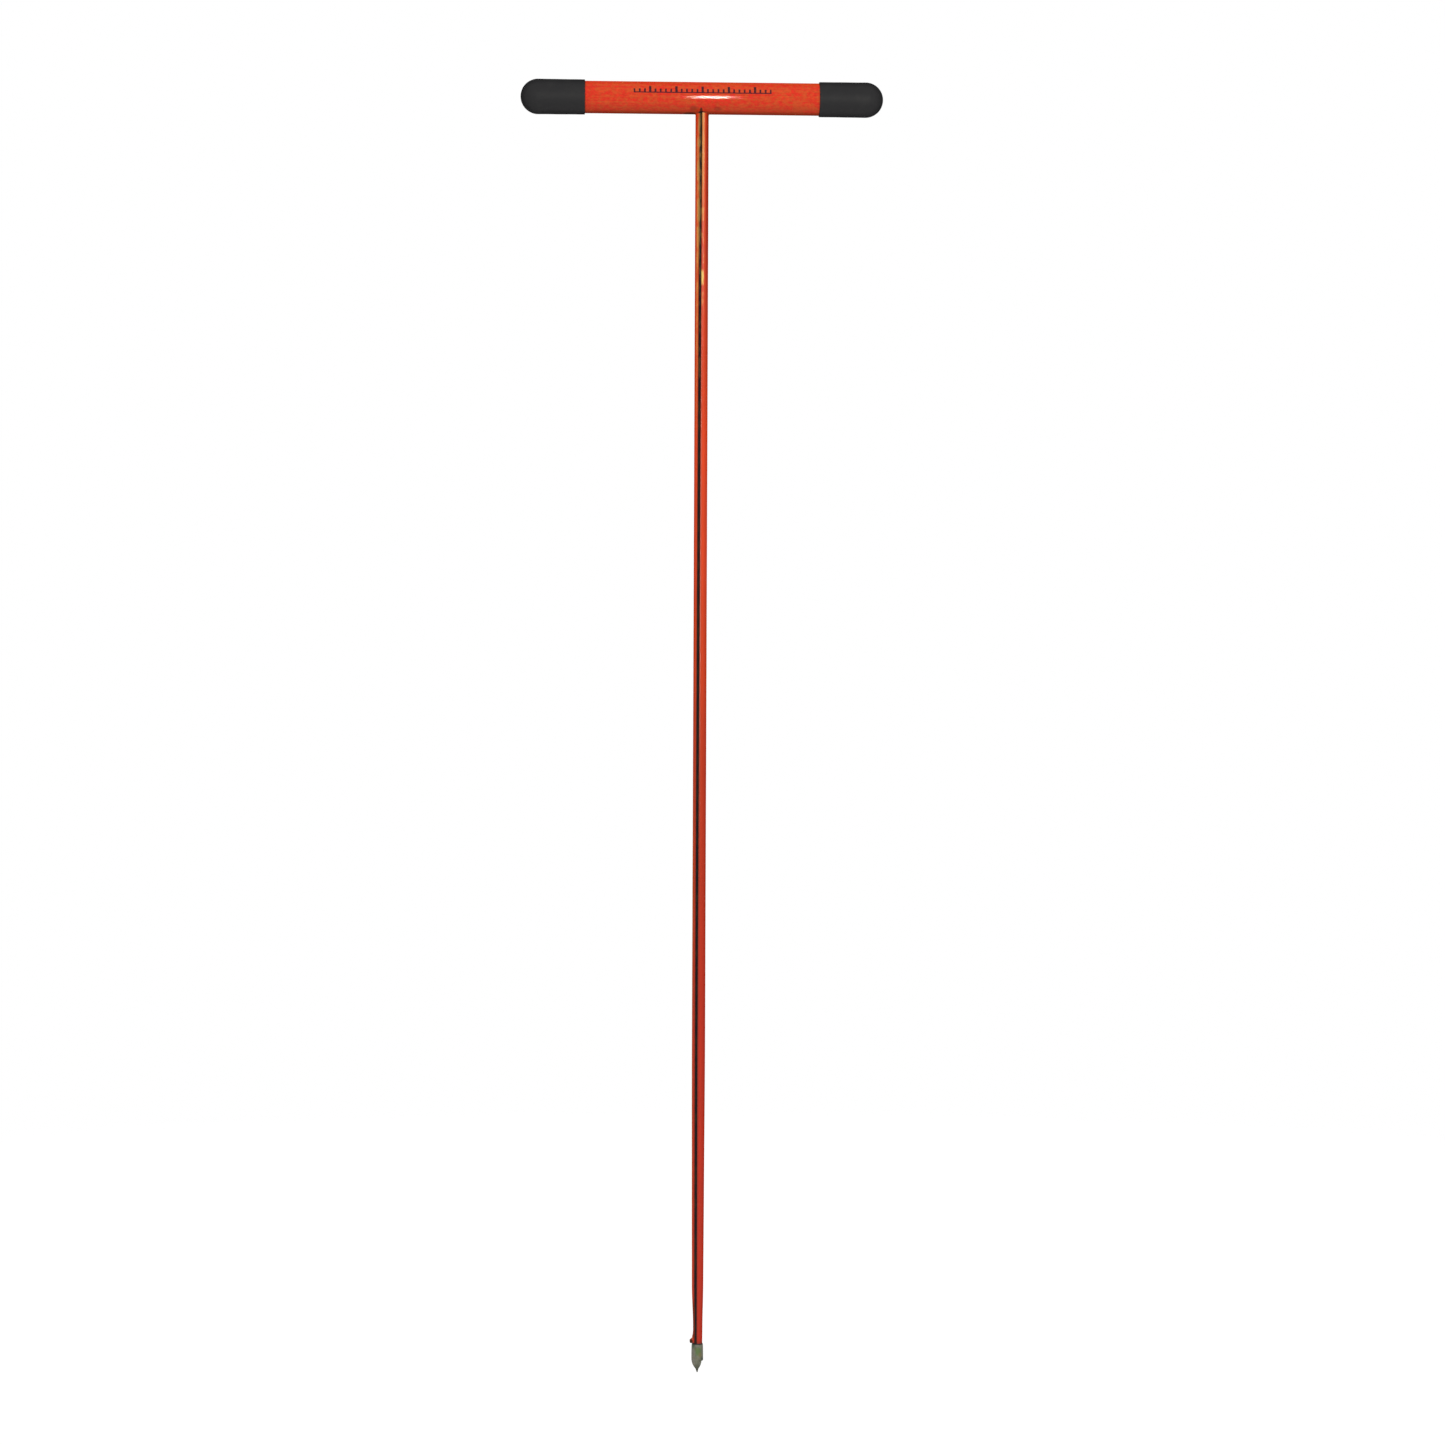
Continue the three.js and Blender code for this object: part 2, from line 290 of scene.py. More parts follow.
def make_tube():
    """Tube along X with a round hole in its underside.

    A skin at one radius is a grid of (x, angle from straight down), less a patch round the hole. The
    patch is rings between the hole's circle and the patch's edge, blended in plan, and each point
    then drops onto the cylinder: z = -sqrt(r^2 - y^2). Outer and inner skins join at the hole and
    at the ends.
    """
    around, patch, plain, rings = 192, 22, 36, 10
    step = 2 * np.pi / around
    inside = np.linspace(-HOLE_PATCH_REACH, HOLE_PATCH_REACH, 2 * patch + 1)
    left = np.linspace(-TUBE_HALF_LENGTH, -HOLE_PATCH_REACH, plain + 1)[:-1]
    along = np.concatenate([left, inside, -left[::-1]])
    x, turn = np.meshgrid(along, step * np.arange(around), indexing="ij")
    grid_size = len(along) * around
    numbers = np.arange(grid_size).reshape(len(along), around)

    row, column = np.meshgrid(np.arange(len(along) - 1), np.arange(around), indexing="ij")
    across_patch = (column < patch) | (column >= around - patch)
    outside_patch = ~((row >= plain) & (row < plain + 2 * patch) & across_patch)
    grid_faces = np.array(joined(numbers[:-1], numbers[1:]))[outside_patch.ravel()]

    run = np.arange(-patch, patch)
    side = np.full(2 * patch, patch)
    edge_x = np.concatenate([run, side, -run, -side])
    edge_turn = np.concatenate([-side, run, side, -run])
    edge_numbers = numbers[plain + patch + edge_x, edge_turn % around]
    ring_numbers = grid_size + np.arange(rings * len(edge_x)).reshape(rings, -1)
    patch_rings = np.vstack([ring_numbers, edge_numbers])
    skin_faces = np.vstack([grid_faces, joined(patch_rings[:-1], patch_rings[1:])])
    inner = grid_size + ring_numbers.size

    points, faces = [], []
    for radius, base, order in ((TUBE_RADIUS, 0, 1), (TUBE_RADIUS - TUBE_WALL, inner, -1)):
        points.append(np.stack([x, -radius * np.sin(turn), -radius * np.cos(turn)], -1).reshape(-1, 3))
        rim = np.stack([inside[edge_x + patch], -radius * np.sin(step * edge_turn)], -1)
        facing = np.arctan2(rim[:, 1], rim[:, 0])
        circle = SHAFT_HOLE_RADIUS * np.stack([np.cos(facing), np.sin(facing)], -1)
        share = np.linspace(0, 1, rings + 1)[:-1, None, None]
        plan = circle + share * (rim - circle)
        depth = -np.sqrt(radius**2 - plan[..., 1:] ** 2)
        points.append(np.concatenate([plan, depth], -1).reshape(-1, 3))
        faces += (base + skin_faces[:, ::order]).tolist()
    for rim_numbers in (numbers[0], numbers[-1], ring_numbers[0]):
        faces += joined(rim_numbers, inner + rim_numbers)
    piece = make_piece("handle_skin", np.vstack(points), faces)
    recalculate(piece)
    return piece


def make_cap(name, side):
    """Stretched cap: an inner skin, a rolled lip and an outer skin turned about X.

    The outer radius is times one less a sum of sines of the angle and the length, so that the cap
    is a little uneven, and less a share that grows evenly from the dome to the mouth.
    """
    bore = TUBE_RADIUS + FIT_GAP
    dome = CAP_END - CAP_RADIUS
    wall_start = CAP_MOUTH + CAP_LIP_RADIUS
    inner = arc((0, dome), bore, CAP_RADIUS - CAP_END_THICKNESS, 89, 0, 24)
    inner_wall = straight(bore, dome, CAP_MOUTH, 20)
    mouth = np.array([[bore, CAP_MOUTH]])
    lip = arc((CAP_RADIUS - CAP_LIP_RADIUS, wall_start), CAP_LIP_RADIUS, CAP_LIP_RADIUS, -90, 0, 8)
    wall = straight(CAP_RADIUS, wall_start, dome, 90)
    outer = arc((0, dome), CAP_RADIUS, CAP_RADIUS, 0, 89.4, 60)
    profile = np.vstack([inner, inner_wall, mouth, lip, wall, outer])
    sides = 160
    grid = revolved(profile, sides)
    along = profile[:, 1:]
    angle = np.linspace(0, 2 * np.pi, sides, endpoint=False)
    is_outer = (np.arange(len(profile)) >= len(inner) + len(inner_wall) + 1)[:, None]
    phase = 1.3 * side
    uneven = 0.5 + 0.25 * np.sin(3 * angle + 190 * along + phase)
    uneven = uneven + 0.25 * np.sin(2 * angle - 310 * along + 2 * phase)
    uneven = CAP_UNEVEN_SHARE * uneven * blend_in(CAP_END - along, 0, CAP_SMOOTH_END)
    tight = CAP_TIGHT_SHARE * np.clip((dome - along) / (dome - CAP_MOUTH), 0, 1)
    grid[..., :2] *= 1 - (is_outer * (uneven + tight))[..., None]
    grid = lying(grid)
    if side < 0:
        grid = grid * np.array([-1, -1, 1])
    return skin(name, grid)


# Shaft

def groove_turn(z):
    """Degrees from -Y towards -X to the groove at a height: it eases out as a sine does."""
    down = (SHAFT_TOP - z) / (SHAFT_TOP - SHAFT_END)
    return GROOVE_TURN_TOP + (GROOVE_TURN_BOTTOM - GROOVE_TURN_TOP) * np.sin(np.pi / 2 * down)


def make_shaft():
    """Grooved rod, as rows of one section from the stud's bore round the lower end and to the top.

    In polar form about the shaft's axis the section is its radius, less a groove that follows a
    power of the cosine of the way across its mouth, less a small rounding outside each lip. The
    radius grows above the lower end as a power of the height, and sines make it slightly uneven.
    """
    body_sides, groove_sides = 150, 26
    burr_top, worn_top = SHAFT_END + BURR_ROWS_TOP, SHAFT_END + WORN_ROWS_TOP
    stops = (SHAFT_END, burr_top, worn_top, SHAFT_END + TAPER_LENGTH, SHAFT_TOP)
    rows = (40, 30, 50, 150)
    spans = [np.linspace(low, high, count + 1)[1:] for low, high, count in zip(stops, stops[1:], rows)]
    z = np.concatenate([[SHAFT_END], *spans])[:, None]
    widened = np.clip((z - SHAFT_END) / TAPER_LENGTH, 0, 1) ** TAPER_POWER
    radius = SHAFT_END_RADIUS + (SHAFT_RADIUS - SHAFT_END_RADIUS) * widened
    mouth = np.arcsin(GROOVE_WIDTH / 2 / radius)
    across = np.radians(np.linspace(-90, 90, groove_sides + 1))
    body = np.linspace(0, 1, body_sides + 1)[1:-1]
    offset = np.concatenate([mouth * np.sin(across), mouth + (2 * np.pi - 2 * mouth) * body], -1)
    depth = (radius - GROOVE_FLOOR_RADIUS) * np.cos(across) ** GROOVE_ROUNDNESS
    section = np.concatenate([radius - depth, np.repeat(radius, len(body), 1)], -1)
    beyond = np.minimum(offset, 2 * np.pi - offset) * radius - GROOVE_WIDTH / 2
    lip = GROOVE_LIP_DEPTH * bell(beyond, GROOVE_LIP_WIDTH)
    facing = np.radians(-90 - groove_turn(z)) + offset
    ripple = wave(facing, (2, 0.4, 0.5), (5, 1.9, 0.3)) * np.sin(23 * z)
    uneven = SHAFT_UNEVEN * (1 + ripple + 0.3 * np.sin(61 * z + 2 * facing))
    section = worn_side(section - lip - uneven, facing, z) + splayed_lip(facing, z)
    bore = STUD_RADIUS + FIT_GAP
    bore_top = SHAFT_END + STUD_BOND_LENGTH + FIT_GAP
    bore_point = (bore * DRILL_TIP_SHARE, bore_top + drill_point(bore))
    bore_rows = np.array([bore_point, (bore, bore_top), (bore, SHAFT_END)])
    lower = polar(bore_rows[:, :1], facing[0], bore_rows[:, 1:])
    return skin("shaft_rod", np.concatenate([lower, polar(section, facing, z)]), sharp=50)


def worn_side(section, facing, z):
    """Section with its left side worn away above the lower end, and its right side a little.

    Each depth is times a window in angle and one in height. The wear stops at the worn face's own
    radius.
    """
    angle = np.degrees(facing) % 360
    left = blend_in(angle, *WORN_FROM) * (1 - blend_in(angle, *WORN_TO))
    right = np.clip(np.cos(facing), 0, 1)
    lower = 1 - blend_in(z - SHAFT_END, WORN_FULL_HEIGHT, WORN_TOP_HEIGHT)
    worn = (WORN_LEFT * left + WORN_RIGHT * right) * lower
    return np.maximum(section - worn, np.minimum(section, WORN_FLOOR_RADIUS))


def splayed_lip(facing, z):
    """How far the torn fibres stand out at the lower end, on the left.

    Above the burr's height it is a narrow and a broad bell in height, and below it another, each
    times a power of the cosine of the angle from the burr's direction.
    """
    above = z - SHAFT_END
    height = above - BURR_HEIGHT
    over = sum(far * bell(height, reach) for far, reach in (BURR_NARROW, BURR_BROAD))
    under = BURR_UNDERSIDE[0] * bell(height, BURR_UNDERSIDE[1])
    window = np.clip(np.cos(facing - np.radians(BURR_DIRECTION)), 0, 1) ** 8
    torn = 1 + wave(facing + 90 * above, (13, 0.6, 0.08), (29, 1.7, 0.05))
    torn = torn + wave(above, (1900, 0.3, 0.06))
    return np.where(height > 0, over, under) * window * torn * blend_in(above, 0, BURR_START)


def make_resin():
    """Bead in the corner between shaft and handle: a small hollow-cornered section carried round.

    Its seat follows the handle's underside, z = -sqrt(R^2 - y^2), and its size varies round the
    shaft.
    """
    angle = np.linspace(0, 2 * np.pi, 160, endpoint=False)[:, None]
    size = RESIN_LEG * (0.86 + wave(angle, (2, 0.7, 0.06), (5, 2.1, 0.05), (9, 0.2, 0.03)))
    turn = np.radians(np.linspace(180, 90, 12))
    out = np.concatenate([1 + np.cos(turn), [1.0, 0.0]])
    drop = np.concatenate([1 - np.sin(turn), [0.0, 0.0]])
    radius = SHAFT_RADIUS + FIT_GAP + size * out
    seat = -np.sqrt(TUBE_RADIUS**2 - (radius * np.sin(angle)) ** 2) - FIT_GAP
    return skin("resin_seam", polar(radius, angle, seat - size * drop), looped=True, sharp=60)


# Lower end

def make_stud():
    """Stud whose threaded part's radius follows a right-hand helix.

    Crest and root are the flat ends of a wave in height over pitch less angle over a turn. The
    thread runs out at the stud's end and below the shaft.
    """
    sides, per_turn = 72, 18
    turns = (SHAFT_END - STUD_END) / THREAD_PITCH
    z = np.linspace(STUD_END, SHAFT_END, round(turns * per_turn))[:, None]
    angle = np.linspace(0, 2 * np.pi, sides, endpoint=False)
    phase = (z / THREAD_PITCH - angle / (2 * np.pi)) % 1
    flank = np.clip(1.3 * np.abs(2 * phase - 1) - 0.15, 0, 1)
    lead = blend_in(z - STUD_END, 0, THREAD_LEAD)
    runout = blend_in(SHAFT_END - z, 0, THREAD_RUNOUT)
    radius = STUD_RADIUS - THREAD_DEPTH * flank * runout - THREAD_LEAD_DEPTH * (1 - lead)
    plain = np.array([[STUD_RADIUS, SHAFT_END + STUD_PLAIN_START], [STUD_RADIUS, STUD_TOP]])
    grid = np.concatenate([polar(radius, angle, z), revolved(plain, sides)])
    return skin("threaded_stud", grid, sharp=50)


def make_washer():
    """Flat ring with rounded rims: a section of two half ellipses turned about Z."""
    half = (washer_high.z - washer_low.z) / 2
    middle = (washer_high.z + washer_low.z) / 2
    rim = arc((washer_high.x - half, middle), half, half, -90, 90, 13)
    bore = arc((SOCKET_RADIUS + half / 2, middle), half / 2, half, 90, 270, 9)
    return skin("sealing_ring", revolved(np.vstack([rim, bore]), 120), looped=True, sharp=60)


def make_point():
    """Turned point: nose, cone, shoulder and barrel as one outline, with a blind socket above.

    The nose's radius is a power of its height. The cone is straight plus a share of s(1 - s), and
    the barrel narrows as a square towards its top. The outline's middle lies to the left of the
    axis at the shoulder, and nearly on it at the point.
    """
    rise = np.linspace(0, 1, 40)[1:]
    nose = np.stack([NOSE_RADIUS * rise**NOSE_POWER, POINT + NOSE_LENGTH * rise], -1)
    cone_length = TIP_SHOULDER - POINT - NOSE_LENGTH
    share = np.linspace(0, 1, 60)[1:]
    swell = share + CONE_SWELL_SHARE * share * (1 - share)
    cone_radius = NOSE_RADIUS + (TIP_RADIUS - TIP_STEP - NOSE_RADIUS) * swell
    cone = np.stack([cone_radius, POINT + NOSE_LENGTH + cone_length * share], -1)
    foot_middle = (TIP_RADIUS - TIP_FOOT_RADIUS, TIP_FOOT - TIP_FOOT_DROP)
    foot = arc(foot_middle, TIP_FOOT_RADIUS, TIP_FOOT_RADIUS, TIP_FOOT_START, 0, 6)
    up = np.linspace(0, 1, 40)
    narrowing = np.clip(up - BARREL_PLAIN_SHARE, 0, 1) / (1 - BARREL_PLAIN_SHARE)
    barrel_radius = TIP_RADIUS - (TIP_RADIUS - TIP_TOP_RADIUS) * narrowing**2
    barrel = np.stack([barrel_radius, TIP_FOOT + (TIP_TOP - TIP_EDGE - TIP_FOOT) * up], -1)
    socket_end = TIP_TOP - SOCKET_DEPTH
    socket = np.array([
        [TIP_TOP_RADIUS - TIP_EDGE, TIP_TOP],
        [SOCKET_RADIUS + TIP_EDGE, TIP_TOP],
        [SOCKET_RADIUS, TIP_TOP - TIP_EDGE],
        [SOCKET_RADIUS, socket_end],
        [SOCKET_RADIUS * DRILL_TIP_SHARE, socket_end - drill_point(SOCKET_RADIUS)],
    ])
    profile = np.vstack([nose, cone, foot, barrel, socket])
    grid = revolved(profile, 144)
    below = (TIP_SHOULDER - profile[:, 1]) / (TIP_SHOULDER - POINT)
    is_ground = np.arange(len(profile)) < len(nose) + len(cone)
    grid[..., 0] -= (is_ground * (LEAN_AT_SHOULDER - LEAN_LOST_AT_POINT * below))[:, None]
    return skin("turned_point", grid, sharp=40)


# Shader sums

class Wire:
    """One output of a shader node. A sum written with it adds the Math nodes that work it out."""

    def __init__(self, tree, socket):
        self.tree = tree
        self.socket = socket

    def math(self, operation, *values):
        return add_node(self.tree, "ShaderNodeMath", {"operation": operation}, *values)

    def __add__(self, other):
        return self.math("ADD", self, other)

    def __radd__(self, other):
        return self.math("ADD", other, self)

    def __sub__(self, other):
        return self.math("SUBTRACT", self, other)

    def __rsub__(self, other):
        return self.math("SUBTRACT", other, self)

    def __mul__(self, other):
        return self.math("MULTIPLY", self, other)

    def __rmul__(self, other):
        return self.math("MULTIPLY", other, self)

    def __truediv__(self, other):
        return self.math("DIVIDE", self, other)

    def __abs__(self):
        return self.math("ABSOLUTE", self)

    def __mod__(self, other):
        return self.math("FLOORED_MODULO", self, other)


def add_node(tree, kind, settings, *values, output=0):
    """Adds a node, makes its settings, then fills its sockets in order.

    A pair of (socket, value) fills the socket of that name or number.
    """
    node = tree.nodes.new(kind)
    for key, value in settings.items():
        setattr(node, key, value)
    for number, value in enumerate(values):
        if isinstance(value, tuple) and len(value) == 2:
            number, value = value
        if isinstance(value, Wire):
            tree.links.new(value.socket, node.inputs[number])
        else:
            node.inputs[number].default_value = value
    return Wire(tree, node.outputs[output])


def largest(first, *others):
    """The largest of some wires."""
    for other in others:
        first = first.math("MAXIMUM", first, other)
    return first


class Paint:
    """A material being mixed, with the tool's own place as its coordinates."""

    def __init__(self, name):
        self.material = bpy.data.materials.new(name)
        self.material.use_nodes = True
        self.tree = self.material.node_tree
        self.tree.nodes.clear()
        self.place = self.add("ShaderNodeTexCoord", {}, output="Object")
        split = self.add("ShaderNodeSeparateXYZ", {}, self.place)
        parts = split.socket.node.outputs
        self.x, self.y, self.z = (Wire(self.tree, part) for part in parts)

    def add(self, kind, settings, *values, output=0):
        return add_node(self.tree, kind, settings, *values, output=output)

    def noise(self, scale, detail, roughness, stretch=(1, 1, 1)):
        """Noise from 0 to 1, with scale cells to a metre, stretched along each axis."""
        settings = {"operation": "MULTIPLY"}
        place = self.add("ShaderNodeVectorMath", settings, self.place, list(stretch))
        return self.add("ShaderNodeTexNoise", {}, ("Vector", place), ("Scale", scale),
                        ("Detail", detail), ("Roughness", roughness))

    def ramp(self, value, low, high, start=0, stop=1):
        """start at low and before it, stop at high and after it, smooth between."""
        settings = {"interpolation_type": "SMOOTHSTEP"}
        return self.add("ShaderNodeMapRange", settings, value, low, high, start, stop)

    def slope(self, value, low, high):
        """0 at low and 1 at high, straight between and held beyond."""
        settings = {"interpolation_type": "LINEAR"}
        return self.add("ShaderNodeMapRange", settings, value, low, high, 0.0, 1.0)

    def from_axis(self):
        """Distance from the shaft's axis."""
        return self.x.math("SQRT", self.x * self.x + self.y * self.y)

    def spot(self, middle, reach):
        """Square of the distance in x and z from a middle, where 1 is the reach."""
        across = (self.x - middle[0]) / reach[0]
        upward = (self.z - middle[1]) / reach[1]
        return across * across + upward * upward

    def mix(self, first, second, share):
        """One colour going over to another."""
        settings = {"data_type": "RGBA"}
        return self.add("ShaderNodeMix", settings, (0, share), (6, first), (7, second), output=2)

    def scaled(self, colour, amount):
        """A colour times a number that varies."""
        triple = self.add("ShaderNodeCombineXYZ", {}, amount, amount, amount)
        settings = {"data_type": "RGBA", "blend_type": "MULTIPLY"}
        return self.add("ShaderNodeMix", settings, (0, 1.0), (6, colour), (7, triple), output=2)

    def gloss(self, amount):
        """Coat weight that holds across the front of a round piece and dies out towards its rims."""
        facing = self.add("ShaderNodeLayerWeight", {}, ("Blend", 0.5), output=1)
        return amount * self.ramp(facing, 0.20, 0.55, 1, 0)

    def bump(self, height, distance, strength):
        """Normal of a surface that a height from 0 to 1 lifts by up to a distance."""
        return self.add("ShaderNodeBump", {}, ("Strength", strength), ("Distance", distance),
                        ("Height", height))

    def finish(self, **sockets):
        """Ends the material with a Principled surface whose sockets are given by name."""
        pairs = [(name.replace("_", " "), value) for name, value in sockets.items()]
        self.add_output(self.add("ShaderNodeBsdfPrincipled", {}, *pairs))
        return self.material

    def add_output(self, surface):
        output = self.tree.nodes.new("ShaderNodeOutputMaterial")
        self.tree.links.new(surface.socket, output.inputs["Surface"])


# Colours, linear

HANDLE_ORANGE = (0.69, 0.032, 0.015, 1)
HANDLE_AMBER = (0.60, 0.074, 0.018, 1)
HANDLE_SHADE = (0.36, 0.042, 0.014, 1)
INK = (0.030, 0.012, 0.022, 1)
SHAFT_ORANGE = (0.62, 0.052, 0.012, 1)
SHAFT_RED = (0.62, 0.036, 0.014, 1)
SHAFT_RIM_SHADE = (0.33, 0.018, 0.004, 1)
SHAFT_HIGHLIGHT = (0.72, 0.30, 0.06, 1)
GROOVE_BLACK = (0.019, 0.0155, 0.0165, 1)
GROOVE_DUST = (0.175, 0.110, 0.036, 1)
LIP_OLIVE = (0.40, 0.24, 0.07, 1)
WORN_ORANGE = (0.17, 0.028, 0.012, 1)
GLINT_YELLOW = (0.80, 0.60, 0.13, 1)
# Brown for soil at the shaft's lower end and for dark marks about the shaft's entry, and for painted
# shade under the handle, at the cap mouths, beside the groove and under the torn lip.
SOIL_AND_SHADE = (0.060, 0.022, 0.012, 1)
CAP_BLACK = (0.0238, 0.0236, 0.0252, 1)
CAP_DUST = (0.035, 0.035, 0.035, 1)
RESIN_AMBER = (0.40, 0.045, 0.012, 1)
RESIN_BROWN = (0.16, 0.030, 0.010, 1)
RESIN_DARK = (0.020, 0.009, 0.006, 1)
STEEL = (0.158, 0.163, 0.124, 1)
STEEL_LIT_PALE = (0.205, 0.195, 0.165, 1)
STEEL_GREEN = (0.098, 0.150, 0.058, 1)
STEEL_RUST = (0.170, 0.142, 0.068, 1)
STEEL_CORNER_SHADE = (0.050, 0.085, 0.046, 1)
STEEL_DARK_OIL_AND_SHADE = (0.052, 0.060, 0.044, 1)
STUD_STEEL = (0.42, 0.42, 0.41, 1)
WASHER_DARK = (0.020, 0.012, 0.012, 1)
CORE_NYLON = (0.48, 0.43, 0.32, 1)


# Finishes: places and reaches of marks are in metres, (x, z), and angles are from the groove

ENTRY_DARK_SPOT = ((-0.0012, -0.0127), (0.0013, 0.0022))
SMEAR_LEFT = ((-0.0085, -0.0115), (0.004, 0.0022))
SMEAR_RIGHT = ((0.0145, -0.0115), (0.004, 0.0018))
UNDER_DARK_LINE = ((-0.0115, -0.0153), (0.0070, 0.0010))
LIP_SHADE_REACH = 0.0010
TICK_SPACING = 0.005
TICKS_PER_TALL = 5
TICK_REACH = 0.0655
TICK_FOOT = 0.0026
TICK_HEIGHT = 0.0038
TALL_HEIGHT = 0.0064
TICK_HALF_WIDTH = 0.00075
TALL_HALF_WIDTH = 0.00100
TICK_LINE_HALF_WIDTH = 0.0004
RESIN_GROOVE_PLACE = -0.0014
HIGHLIGHT_ANGLE = -27
LIP_MARK_ANGLE = -15
SHADED_SHARE_DOWN = 0.18
LIP_GLINT_HEIGHT = -0.1722
GREEN_STAIN = ((0.0004, TIP_TOP - 0.0066), (0.0038, 0.0050))
RUST_STAIN = ((0.0024, TIP_TOP - 0.0100), (0.0024, 0.0034))
STEP_SHADOW_HEIGHT = POINT + 0.434 * TIP_LENGTH
HEEL_HEIGHT = TIP_FOOT + 0.0012


def paint_handle():
    """Matt orange skin: drag lines along the tube, cloudy patches, dark marks about the shaft's entry,
    ink ticks, and painted light and shade: lighter on top, darker on the underside and where the caps
    meet it.
    """
    p = Paint("handle_finish")
    drag = p.noise(60, 4, 0.6, (0.12, 14, 14))
    cloud = p.noise(70, 3, 0.55)
    grain = p.noise(900, 3, 0.6)
    mottle = p.noise(330, 3, 0.6, (0.7, 1, 1))
    patch = p.noise(470, 3, 0.6, (0.8, 1, 1.2))
    tone = 0.45 + 0.20 * drag + 0.16 * cloud + 0.20 * grain + 0.62 * patch
    # Painted light and shade: the skin is lighter towards the top and darker towards the bottom.
    tone = tone * p.ramp(p.z, -0.010, 0.014, 0.92, 1.05)
    hue = p.ramp(0.30 * drag + 0.20 * cloud + 0.50 * mottle, 0.42, 0.58)
    colour = p.scaled(p.mix(HANDLE_ORANGE, HANDLE_AMBER, hue), tone)
    # Painted shade: the underside is darker, mottled by the cloud noise, and darkest along its lowest
    # edge.
    under = p.ramp(p.z, -0.006, -0.0145, 0, 0.45) * (0.55 + 0.9 * cloud)
    colour = p.mix(colour, HANDLE_SHADE, under)
    colour = p.mix(colour, SOIL_AND_SHADE, p.ramp(p.z, -0.0130, -0.0152, 0, 0.50))
    colour = p.mix(colour, SOIL_AND_SHADE, entry_dark_marks(p, cloud))
    colour = p.mix(colour, SOIL_AND_SHADE, cap_shadow(p))
    colour = p.mix(colour, INK, ink_ticks(p, grain))
    return p.finish(
        Base_Color=colour,
        Roughness=p.ramp(drag, 0.2, 0.8, 0.42, 0.60),
        Specular_IOR_Level=0.0,
        Coat_Weight=p.gloss(0.16),
        Coat_Roughness=0.035,
        Normal=p.bump(0.6 * drag + 0.4 * grain, 0.00012, 0.5),
    )


def entry_dark_marks(p, cloud):
    """A dark spot on the handle in front of the shaft's hole, faint smears beside it, and a dark line
    along the underside to the left of the shaft.
    """
    blob = p.ramp(p.spot(*ENTRY_DARK_SPOT) + 0.8 * cloud, 1.7, 0.6, 0, 0.9)
    left = p.ramp(p.spot(*SMEAR_LEFT) + cloud, 1.9, 0.5, 0, 0.4)
    right = p.ramp(p.spot(*SMEAR_RIGHT) + cloud, 1.9, 0.5, 0, 0.35)
    below = p.ramp(p.spot(*UNDER_DARK_LINE) + cloud, 1.9, 0.6, 0, 0.85)
    front = p.ramp(p.y, 0, -0.003)
    return largest((blob + left + right) * front, below)


def cap_shadow(p):
    """Painted shade in the corner where each cap's lip meets the tube."""
    return p.ramp(CAP_MOUTH - abs(p.x), LIP_SHADE_REACH, 0.0, 0, 0.5)


def from_multiple(value, spacing):
    """Distance from the nearest multiple of a spacing."""
    return abs((value + spacing / 2) % spacing - spacing / 2)


def ink_ticks(p, grain):
    """A plain hand-width scale on the front: ticks, taller every fifth one, on a thin line."""
    soft = 0.0002
    front = p.ramp(p.y, -0.004, -0.006)
    inside = p.ramp(abs(p.x), TICK_REACH + 0.0004, TICK_REACH)
    tick = p.ramp(from_multiple(p.x, TICK_SPACING), TICK_HALF_WIDTH + 0.00025, TICK_HALF_WIDTH)
    from_tall = from_multiple(p.x, TICK_SPACING * TICKS_PER_TALL)
    tall = p.ramp(from_tall, TALL_HALF_WIDTH + 0.00030, TALL_HALF_WIDTH)
    above = p.ramp(p.z, TICK_FOOT - soft, TICK_FOOT)
    short_top = p.ramp(p.z, TICK_FOOT + TICK_HEIGHT, TICK_FOOT + TICK_HEIGHT - soft)
    tall_top = p.ramp(p.z, TICK_FOOT + TALL_HEIGHT, TICK_FOOT + TALL_HEIGHT - soft)
    from_line = abs(p.z - TICK_FOOT)
    line = p.ramp(from_line, TICK_LINE_HALF_WIDTH + soft, TICK_LINE_HALF_WIDTH)
    marks = largest(tick * above * short_top, tall * above * tall_top, line)
    rubbed = p.ramp(grain, 0.2, 0.5, 0.65, 0.95)
    return marks * inside * front * rubbed


